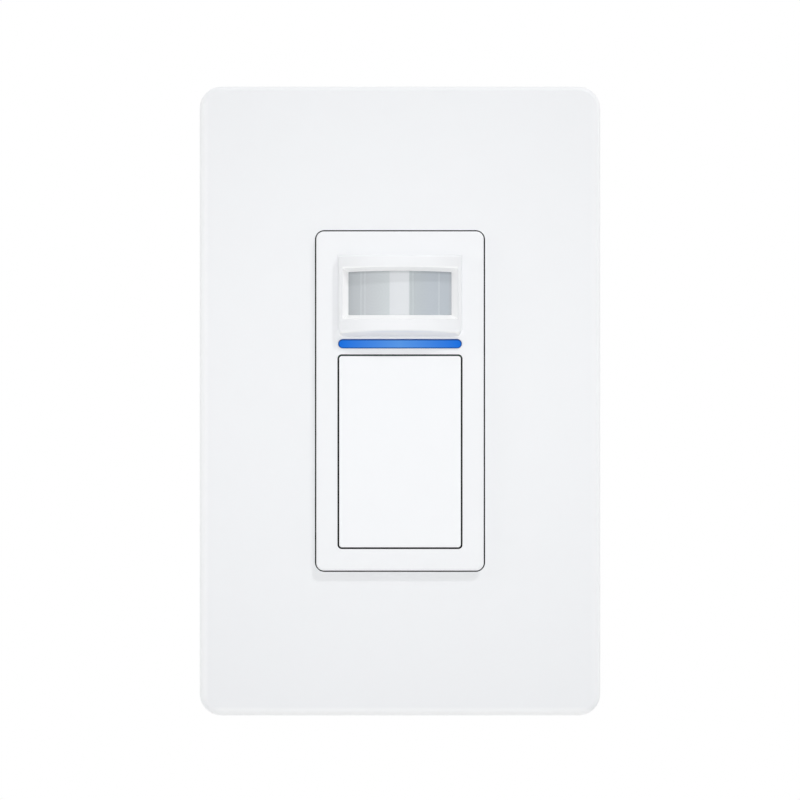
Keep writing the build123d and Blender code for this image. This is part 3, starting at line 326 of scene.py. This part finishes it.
def stepped_ramp(nt, value, stops):
    # Each stop is a place and a colour
    node = nt.nodes.new("ShaderNodeValToRGB")
    ramp = node.color_ramp
    low, high = stops[0][0], stops[-1][0]
    while len(ramp.elements) < len(stops):
        ramp.elements.new(0.5)
    for element, (place, rgb) in zip(ramp.elements, stops):
        element.position = (place - low) / (high - low)
        element.color = (*rgb, 1)
    nt.links.new(span(nt, value, 0.0, 1.0, low, high), node.inputs["Fac"])
    return node.outputs["Color"]


def bump(nt, shader, height, strength, distance, below=None):
    node = nt.nodes.new("ShaderNodeBump")
    node.inputs["Strength"].default_value = strength
    node.inputs["Distance"].default_value = distance
    nt.links.new(height, node.inputs["Height"])
    if below is not None:
        nt.links.new(below, node.inputs["Normal"])
    nt.links.new(node.outputs["Normal"], shader.inputs["Normal"])
    return node.outputs["Normal"]


def shade(rgb, factor):
    return tuple(min(1.0, c * factor) for c in rgb)


def colour_of(m):
    # The tree, the shader's colour socket, what feeds it and the place on the object
    nt = m.node_tree
    socket = nt.nodes["Principled BSDF"].inputs["Base Color"]
    coords = nt.nodes.new("ShaderNodeTexCoord").outputs["Object"]
    return nt, socket, socket.links[0].from_socket, coords


# Kinds of material
def plastic(name, rgb, rough=0.4, change=0.005, grain=2600.0, depth=0.5):
    m, nt, shader, coords = start(name)
    clouds = noise(nt, coords, CLOUDS, detail=2.0)
    tone = blend_colour(nt, clouds, shade(rgb, 1 - change), shade(rgb, 1 + change))
    nt.links.new(tone, shader.inputs["Base Color"])
    patches = noise(nt, coords, PATCHES, detail=4.0)
    below, above = PLASTIC_ROUGH_RANGE
    nt.links.new(span(nt, patches, rough + below, rough + above), shader.inputs["Roughness"])
    texture = noise(nt, coords, grain, detail=2.0, rough=0.6)
    waves = noise(nt, coords, WAVES, detail=2.0)
    first = bump(nt, shader, waves, strength=0.015, distance=0.4 * MM)
    bump(nt, shader, texture, strength=depth, distance=0.012 * MM, below=first)
    shader.inputs["IOR"].default_value = 1.49
    return m


def metal(name, rgb, rough=0.32, stretch=UP_BRUSH, change=0.06, depth=0.35):
    m, nt, shader, coords = start(name)
    streaks = noise(nt, coords, stretch, detail=3.0)
    spots = noise(nt, coords, SPOTS, detail=4.0)
    tone = blend_colour(nt, spots, shade(rgb, 1 - change), shade(rgb, 1 + change))
    nt.links.new(tone, shader.inputs["Base Color"])
    shader.inputs["Metallic"].default_value = 1.0
    below, above = METAL_ROUGH_RANGE
    nt.links.new(span(nt, streaks, rough + below, rough + above), shader.inputs["Roughness"])
    first = bump(nt, shader, streaks, strength=depth, distance=0.01 * MM)
    bump(nt, shader, spots, strength=0.2, distance=0.03 * MM, below=first)
    return m


def board_green(name):
    m, nt, shader, coords = start(name)
    lines = nt.nodes.new("ShaderNodeTexBrick")
    lines.inputs["Scale"].default_value = 1.0
    lines.inputs["Mortar Size"].default_value = 0.06
    lines.inputs["Mortar Smooth"].default_value = 0.1
    lines.inputs["Color1"].default_value = (*BOARD_DARK, 1)
    lines.inputs["Color2"].default_value = (*BOARD_LIGHT, 1)
    lines.inputs["Mortar"].default_value = (*BOARD_LINE, 1)
    turned = nt.nodes.new("ShaderNodeMapping")
    turned.inputs["Rotation"].default_value = (math.pi / 2, 0, 0)
    turned.inputs["Scale"].default_value = (COPPER_LINES, COPPER_LINES, COPPER_LINES)
    nt.links.new(coords, turned.inputs["Vector"])
    nt.links.new(turned.outputs["Vector"], lines.inputs["Vector"])
    nt.links.new(lines.outputs["Color"], shader.inputs["Base Color"])
    weave = noise(nt, coords, WEAVE, detail=2.0)
    nt.links.new(span(nt, weave, *BOARD_ROUGH), shader.inputs["Roughness"])
    bump(nt, shader, lines.outputs["Fac"], strength=0.4, distance=0.03 * MM)
    return m


def wound(name, rgb):
    m, nt, shader, coords = start(name)
    wave = nt.nodes.new("ShaderNodeTexWave")
    wave.bands_direction = "Y"
    wave.inputs["Scale"].default_value = TURNS_OF_WIRE
    wave.inputs["Distortion"].default_value = 0.4
    nt.links.new(coords, wave.inputs["Vector"])
    tone = blend_colour(nt, wave.outputs["Fac"], shade(rgb, GROOVE_SHADE), rgb)
    nt.links.new(tone, shader.inputs["Base Color"])
    shader.inputs["Roughness"].default_value = 0.35
    bump(nt, shader, wave.outputs["Fac"], strength=0.5, distance=0.05 * MM)
    return m


# Changes of colour by place on the object, most of them painted light and shade
def seam_shade(m, face, half_x=EVERYWHERE, half_z=EVERYWHERE, middle_z=0.0):
    # Painted shade: walls of the narrow gaps are painted dark between two depths behind the
    # visible face
    nt, socket, tone, coords = colour_of(m)
    y = axis_value(nt, coords, "Y")
    end = face + SEAM_REACH
    depth = calc(nt, "MULTIPLY", span(nt, y, 0.0, 1.0, face, face + SEAM_FADE),
                 span(nt, y, 1.0, 0.0, end, end + SEAM_FADE))
    for axis, middle, half in (("X", 0.0, half_x), ("Z", middle_z, half_z)):
        away = away_from(nt, axis_value(nt, coords, axis), middle)
        depth = calc(nt, "MULTIPLY", depth, calc(nt, "LESS_THAN", away, half))
    nt.links.new(blend_colour(nt, depth, tone, SEAM_DARK), socket)
    rough = nt.nodes["Principled BSDF"].inputs["Roughness"]
    nt.links.new(calc(nt, "MAXIMUM", rough.links[0].from_socket, depth), rough)


def tint(m, colour, share, limits):
    # Paints light and shade into the colour, within the limits
    # Each limit is an axis, a centre and the distances from it that have none and all of the tint
    nt, socket, tone, coords = colour_of(m)
    whole = None
    for axis, centre, none, full in limits:
        part = span(nt, away_from(nt, axis_value(nt, coords, axis), centre), 0.0, 1.0, none, full)
        whole = part if whole is None else calc(nt, "MULTIPLY", whole, part)
    nt.links.new(blend_colour(nt, calc(nt, "MULTIPLY", whole, share), tone, colour), socket)


def plate_material():
    m = plastic("plate_plastic", WHITE, rough=0.44)
    low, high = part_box("wall_plate_cover")
    width = high[0] - low[0]
    height = high[2] - low[2]
    # Painted light: the plate's rounded edges are lighter, most at the bottom, less at the left,
    # least at the right
    tint(m, PAINTED_LIGHT_WHITE, LOW_EDGE_SHARE, (("Z", high[2], height - EDGE_START, height - EDGE_END),))
    tint(m, PAINTED_LIGHT_WHITE, LEFT_EDGE_SHARE, (("X", high[0], width - EDGE_START, width - EDGE_END),))
    tint(m, PAINTED_LIGHT_WHITE, RIGHT_EDGE_SHARE, (("X", low[0], width - EDGE_START, width - EDGE_END),))
    seam_shade(m, PLATE_FRONT + SEAM_START, OPENING_HALF_X, OPENING_HALF_Z)
    return m


def frame_material():
    m = plastic("frame_plastic", shade(WHITE, FRAME_PAINTED_LIGHT), rough=0.43)
    # Painted shade: the hood's front is darker towards its sides
    tint(m, shade(WHITE, CROWN_SHADE), CROWN_SHARE, (
        ("X", 0.0, CROWN_START, CROWN_END),
        ("X", 0.0, HOOD_HALF_X, HOOD_HALF_X - SOFT_EDGE),
        ("Z", HOOD_MIDDLE_Z, HOOD_HALF_Z, HOOD_HALF_Z - SOFT_EDGE)))
    # Painted light: the slopes of the window are lighter
    tint(m, PAINTED_LIGHT_WHITE, SLOPE_SHARE, (
        ("X", 0.0, WINDOW_RIM_X, WINDOW_RIM_X - SOFT_EDGE),
        ("Z", LENS_MIDDLE_Z, WINDOW_RIM_Z, WINDOW_RIM_Z - SOFT_EDGE)))
    # Painted warm tint on the hood's underside, taking out the blue light of the bar
    full_x, none_x = UNDERSIDE_X
    full_z, none_z = UNDERSIDE_HALF_Z
    tint(m, UNDERSIDE_PAINTED_TINT, UNDERSIDE_SHARE, (
        ("X", 0.0, none_x, full_x), ("Z", UNDERSIDE_Z, none_z, full_z)))
    seam_shade(m, INSERT_FRONT + PRESSED_DEPTH, PADDLE_HALF_X, PADDLE_HALF_Z, PADDLE_MIDDLE_Z)
    seam_shade(m, PLATE_FRONT + SEAM_START)
    return m


def paddle_material():
    m = plastic("paddle_plastic", shade(WHITE, PADDLE_PAINTED_LIGHT), rough=0.43)
    seam_shade(m, INSERT_FRONT + PADDLE_SEAM_START)
    return m


def carrier_material():
    # Kept from shining, since it shows only as the dark behind the gaps
    m = plastic("carrier_plastic", (0.016, 0.016, 0.018), rough=0.62, change=0.1)
    m.node_tree.nodes["Principled BSDF"].inputs["Specular IOR Level"].default_value = 0.12
    return m


def lens_material():
    m, nt, shader, coords = start("lens_sheet")
    x = axis_value(nt, coords, "X")
    z = axis_value(nt, coords, "Z")
    # Painted light and shade across the lens, with the middle panel lighter
    tone = stepped_ramp(nt, x, LENS_TONES)
    lines = None
    for place in LENS_LINES:
        one = near(nt, x, place, LENS_LINE_HALF)
        lines = one if lines is None else calc(nt, "MAXIMUM", lines, one)
    tone = blend_colour(nt, calc(nt, "MULTIPLY", lines, LENS_LINE_SHARE), tone, LENS_LINE_TINT)
    # Fine steps run round the middle of each side segment
    rings = None
    for place in RING_CENTRES:
        across = calc(nt, "SUBTRACT", x, place)
        far = radius_of(nt, across, calc(nt, "SUBTRACT", z, LENS_MIDDLE_Z))
        steps = calc(nt, "FRACT", calc(nt, "MULTIPLY", far, 1.0 / RING_PITCH))
        part = calc(nt, "MULTIPLY", steps, near(nt, x, place, RING_HALF))
        rings = part if rings is None else calc(nt, "ADD", rings, part)
    tone = blend_colour(nt, calc(nt, "MULTIPLY", rings, RING_SHARE), tone, RING_SHADE)
    # Painted shade along the upper edge, which lies in the shade of the arched window
    part_way = calc(nt, "MULTIPLY", x, 1.0 / WINDOW_HALF)
    arch = calc(nt, "MULTIPLY", calc(nt, "MULTIPLY", part_way, part_way), WINDOW_ARCH)
    below = calc(nt, "SUBTRACT", calc(nt, "SUBTRACT", WINDOW_TOP, arch), z)
    edge = span(nt, below, WINDOW_SHADE_SHARE, 0.0, *WINDOW_SHADE_REACH)
    nt.links.new(blend_colour(nt, edge, tone, WINDOW_SHADE), shader.inputs["Base Color"])
    grain = noise(nt, coords, LENS_GRAIN, detail=2.0)
    first = bump(nt, shader, rings, strength=0.2, distance=0.03 * MM)
    second = bump(nt, shader, grain, strength=0.15, distance=0.02 * MM, below=first)
    bump(nt, shader, lines, strength=0.3, distance=0.06 * MM, below=second)
    shader.inputs["Roughness"].default_value = LENS_ROUGH
    shader.inputs["IOR"].default_value = LENS_IOR
    return m


def bar_material():
    m, nt, shader, coords = start("lit_bar")
    x = axis_value(nt, coords, "X")
    z = axis_value(nt, coords, "Z")
    far = calc(nt, "ABSOLUTE", x)
    centre = span(nt, far, 1.0, 0.0, 0.0, BAR_GLOW_REACH)
    # A darker outline follows the rounded ends
    across = calc(nt, "MAXIMUM", calc(nt, "SUBTRACT", far, BAR_STRAIGHT), 0.0)
    radius = radius_of(nt, across, calc(nt, "SUBTRACT", z, BAR_Z))
    core = span(nt, radius, 1.0, 0.0, *BAR_OUTLINE)
    glow = blend_colour(nt, centre, BAR_END_BLUE, BAR_MIDDLE_BLUE)
    tone = blend_colour(nt, core, BAR_OUTLINE_BLUE, glow)
    cells = noise(nt, coords, CELLS, detail=2.0)
    mottled = blend_colour(nt, span(nt, cells, 0.0, BAR_CELL_SHARE), tone, BAR_CELL_BLUE)
    nt.links.new(mottled, shader.inputs["Emission Color"])
    shader.inputs["Emission Strength"].default_value = 1.0
    shader.inputs["Base Color"].default_value = (*BAR_BODY, 1)
    shader.inputs["IOR"].default_value = BAR_IOR
    shader.inputs["Specular IOR Level"].default_value = BAR_SHINE
    nt.links.new(span(nt, cells, *BAR_ROUGH), shader.inputs["Roughness"])
    bump(nt, shader, cells, strength=0.2, distance=0.02 * MM)
    return m


# Materials that more than one piece wears
black_plastic = plastic("black_plastic", (0.035, 0.036, 0.04), rough=0.42, change=0.1)
screw_steel = metal("screw_steel", (0.68, 0.68, 0.69), rough=0.28, stretch=EVEN_BRUSH)
spring_steel = metal("spring_steel", (0.60, 0.61, 0.63), rough=0.22)
brass = metal("bracket_brass", (0.72, 0.52, 0.22), rough=0.34)
nickel = metal("sensor_metal", (0.72, 0.69, 0.62), rough=0.22)
painted = plastic("painted_screw", (0.84, 0.84, 0.84), rough=0.35)
chip = plastic("chip_resin", (0.03, 0.03, 0.033), rough=0.5, change=0.1)
laminate = board_green("board_laminate")

# Which piece wears which material
LOOKS = {
    "wall_plate_cover": plate_material(),
    "wall_plate_base": plastic("base_plastic", (0.78, 0.78, 0.77), rough=0.5, grain=1500.0),
    "base_plate_screws": painted,
    "yoke": metal("strap_steel", (0.50, 0.51, 0.53), rough=0.36, stretch=SIDE_BRUSH),
    "box_screws": screw_steel,
    "ground_screw": metal("ground_green", (0.05, 0.30, 0.11), rough=0.34, stretch=EVEN_BRUSH),
    "front_frame": frame_material(),
    "fresnel_lens": lens_material(),
    "lens_retainer": black_plastic,
    "light_pipe": bar_material(),
    "paddle": paddle_material(),
    "paddle_spring": spring_steel,
    "inner_carrier": carrier_material(),
    "control_board": laminate,
    "pir_sensor_can": nickel,
    "pir_sensor_window": plastic("sensor_filter", (0.05, 0.045, 0.06), rough=0.12, change=0.1),
    "pir_sensor_base": nickel,
    "tact_switch_body": black_plastic,
    "tact_switch_plunger": plastic("red_plastic", (0.55, 0.05, 0.04), rough=0.4, change=0.05),
    "status_leds": plastic("diode_plastic", (0.80, 0.82, 0.66), rough=0.25, change=0.03),
    "controller_chip": chip,
    "link_header": black_plastic,
    "link_pins": brass,
    "rear_housing": plastic("housing_plastic", (0.075, 0.078, 0.084), rough=0.46, change=0.08,
                            grain=1400.0, depth=0.9),
    "housing_screws": screw_steel,
    "power_board": laminate,
    "relay": plastic("relay_plastic", (0.03, 0.10, 0.34), rough=0.35, change=0.05),
    "transformer_core": plastic("ferrite", (0.05, 0.05, 0.052), rough=0.6, change=0.15,
                                grain=1200.0, depth=1.0),
    "transformer_bobbin": wound("winding_tape", (0.74, 0.50, 0.06)),
    "filter_capacitors": plastic("capacitor_sleeve", (0.03, 0.03, 0.06), rough=0.3, change=0.1),
    "film_capacitor": plastic("film_resin", (0.60, 0.36, 0.05), rough=0.3, change=0.06),
    "varistor": plastic("varistor_resin", (0.05, 0.14, 0.42), rough=0.3, change=0.06),
    "fuse_resistor": plastic("resistor_resin", (0.30, 0.44, 0.56), rough=0.4, change=0.06),
    "bridge_rectifier": chip,
}
for place in ("line", "load", "neutral"):
    LOOKS[place + "_bracket"] = brass
    LOOKS[place + "_clamp_plate"] = screw_steel if place == "neutral" else brass
    LOOKS[place + "_screw"] = screw_steel if place == "neutral" else brass

for name, obj in nodes.items():
    obj.data.materials.clear()
    obj.data.materials.append(LOOKS[name])


# Pieces made here
def box_middle(node):
    low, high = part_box(node)
    return [(a + b) / 2 for a, b in zip(low, high)], low, high


def piece(name, work, look):
    # A bmesh becomes a piece that rides on the device
    bmesh.ops.recalc_face_normals(work, faces=work.faces)
    mesh = bpy.data.meshes.new(name)
    work.to_mesh(mesh)
    work.free()
    mesh.materials.append(look)
    obj = bpy.data.objects.new(name, mesh)
    bpy.context.collection.objects.link(obj)
    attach(obj, "device")
    return obj


def skin(work, rows, smooth):
    # Faces between each ring of points and the next, and a cap at both ends
    sides = len(rows[0])
    for first, second in zip(rows[:-1], rows[1:]):
        for side in range(sides):
            after = (side + 1) % sides
            work.faces.new((first[side], first[after], second[after], second[side]))
    work.faces.new(rows[0][::-1])
    work.faces.new(rows[-1])
    for face in work.faces:
        face.smooth = smooth


def thread(name, foot, axis, length, look):
    # A ridge that winds round the shank, with its ends run out to nothing
    turns = length / THREAD_PITCH
    count = int(turns * THREAD_STEPS)
    side = Vector((0, 0, 1))
    other = axis.cross(side)
    half = axis * THREAD_PITCH * THREAD_HALF
    work = bmesh.new()
    rows = []
    for number in range(count + 1):
        share = number / count
        angle = math.tau * turns * share
        out = side * math.cos(angle) + other * math.sin(angle)
        rise = THREAD_HEIGHT * min(1.0, share / THREAD_END_SHARE, (1 - share) / THREAD_END_SHARE)
        middle = foot + axis * (length * share)
        inner = middle + out * (SHANK - THREAD_HEIGHT * THREAD_ROOT)
        outer = middle + out * (SHANK + rise)
        rows.append([work.verts.new(point) for point in (inner - half, outer, inner + half)])
    skin(work, rows, smooth=False)
    piece(name, work, look)


def screw_threads():
    behind = Vector((0, 1, 0))
    for node, head, look in (("box_screws", BOX_SCREW_HEAD, screw_steel),
                             ("base_plate_screws", PLATE_SCREW_HEAD, painted)):
        middle, low, high = box_middle(node)
        length = high[1] - THREAD_RUN_OUT - THREAD_START_Y
        for side, z in (("upper", high[2] - head), ("lower", low[2] + head)):
            foot = Vector((middle[0], THREAD_START_Y, z))
            thread(node + "_thread_" + side, foot, behind, length, look)


def coil_height(turn, length):
    # Distance along the spring after a number of turns
    end = END_TURNS * END_PITCH
    if turn < END_TURNS:
        return turn * END_PITCH
    if turn > END_TURNS + OPEN_TURNS:
        return length - (2 * END_TURNS + OPEN_TURNS - turn) * END_PITCH
    return end + (turn - END_TURNS) / OPEN_TURNS * (length - 2 * end)


def spring_coil():
    middle, low, high = box_middle("paddle_spring")
    radius = (high[0] - low[0]) / 2 - WIRE_RADIUS
    length = high[1] - low[1] - 2 * (WIRE_RADIUS + SPRING_SEAT)
    start_y = low[1] + WIRE_RADIUS + SPRING_SEAT
    turns = 2 * END_TURNS + OPEN_TURNS
    count = int(turns * COIL_STEPS)
    along = Vector((0, 1, 0))
    work = bmesh.new()
    rows = []
    for number in range(count + 1):
        turn = turns * number / count
        angle = math.tau * turn
        out = Vector((math.cos(angle), 0, math.sin(angle)))
        centre = Vector((middle[0], start_y + coil_height(turn, length), middle[2])) + out * radius
        ring = []
        for side in range(WIRE_SIDES):
            around = math.tau * side / WIRE_SIDES
            offset = out * math.cos(around) + along * math.sin(around)
            ring.append(work.verts.new(centre + offset * WIRE_RADIUS))
        rows.append(ring)
    skin(work, rows, smooth=True)
    obj = piece("spring_coil", work, spring_steel)
    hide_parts("paddle_spring")
    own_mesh(obj)


screw_threads()
spring_coil()


# Stage
def place_lamp(name, data, place, aim, watts):
    data.energy = watts
    obj = bpy.data.objects.new(name, data)
    obj.location = place
    way = Vector(aim) - Vector(place)
    obj.rotation_euler = way.to_track_quat("-Z", "Y").to_euler()
    bpy.context.collection.objects.link(obj)


def area_lamp(name, place, aim, size, watts):
    data = bpy.data.lights.new(name, "AREA")
    data.shape = "DISK"
    data.size = size
    place_lamp(name, data, place, aim, watts)


def spot_lamp(name, degrees, place, aim, size, watts):
    # Its soft edge lets the light fall off towards the corners of the plate
    data = bpy.data.lights.new(name, "SPOT")
    data.spot_size = math.radians(degrees)
    data.spot_blend = 1.0
    data.shadow_soft_size = size
    place_lamp(name, data, place, aim, watts)


def floor():
    mesh = bpy.data.meshes.new("floor")
    obj = bpy.data.objects.new("floor", mesh)
    bpy.context.collection.objects.link(obj)
    low, high = FLOOR_Y
    corners = [(-FLOOR_X, low, FLOOR_Z), (FLOOR_X, low, FLOOR_Z),
               (FLOOR_X, high, FLOOR_Z), (-FLOOR_X, high, FLOOR_Z)]
    mesh.from_pydata(corners, [], [(0, 1, 2, 3)])
    paper = plastic("floor_paper", (0.94, 0.94, 0.94), rough=0.8, change=0.004, grain=300.0,
                    depth=0.1)
    mesh.materials.append(paper)


def world():
    w = bpy.data.worlds.new("studio")
    bpy.context.scene.world = w
    w.use_nodes = True
    nt = w.node_tree
    nt.nodes.clear()
    out = nt.nodes.new("ShaderNodeOutputWorld")
    mix = nt.nodes.new("ShaderNodeMixShader")
    fill = nt.nodes.new("ShaderNodeBackground")
    seen = nt.nodes.new("ShaderNodeBackground")
    path = nt.nodes.new("ShaderNodeLightPath")
    fill.inputs["Color"].default_value = (*FILL_TINT, 1)
    way = nt.nodes.new("ShaderNodeTexCoord").outputs["Generated"]
    ahead = calc(nt, "ABSOLUTE", axis_value(nt, way, "Y"))
    nt.links.new(span(nt, ahead, FILL_SIDE, FILL_AHEAD, 0.0, 1.0), fill.inputs["Strength"])
    seen.inputs["Color"].default_value = (*SEEN_WHITE, 1)
    seen.inputs["Strength"].default_value = 1.0
    # Camera, mirror and through-going rays see plain white, and all the others see the fill
    mirrored = calc(nt, "MAXIMUM", path.outputs["Is Camera Ray"], path.outputs["Is Glossy Ray"])
    direct = calc(nt, "MAXIMUM", mirrored, path.outputs["Is Transmission Ray"])
    nt.links.new(direct, mix.inputs["Fac"])
    nt.links.new(fill.outputs[0], mix.inputs[1])
    nt.links.new(seen.outputs[0], mix.inputs[2])
    nt.links.new(mix.outputs[0], out.inputs["Surface"])


def camera():
    data = bpy.data.cameras.new("camera")
    data.lens = LENS_MM
    data.sensor_width = SENSOR_MM
    data.clip_start = CLIP_START
    obj = bpy.data.objects.new("camera", data)
    back = VIEW_WIDTH * LENS_MM / SENSOR_MM
    obj.location = (0, PLATE_FRONT - back, CAMERA_RISE)
    obj.rotation_euler = (math.pi / 2, 0, 0)
    bpy.context.collection.objects.link(obj)
    bpy.context.scene.camera = obj


floor()
world()
camera()
area_lamp("key", **KEY_LAMP)
area_lamp("front", **FRONT_LAMP)
area_lamp("left", **LEFT_LAMP)
spot_lamp("middle", MIDDLE_SPOT_DEGREES, **MIDDLE_SPOT)
bpy.context.scene.view_settings.view_transform = "Standard"
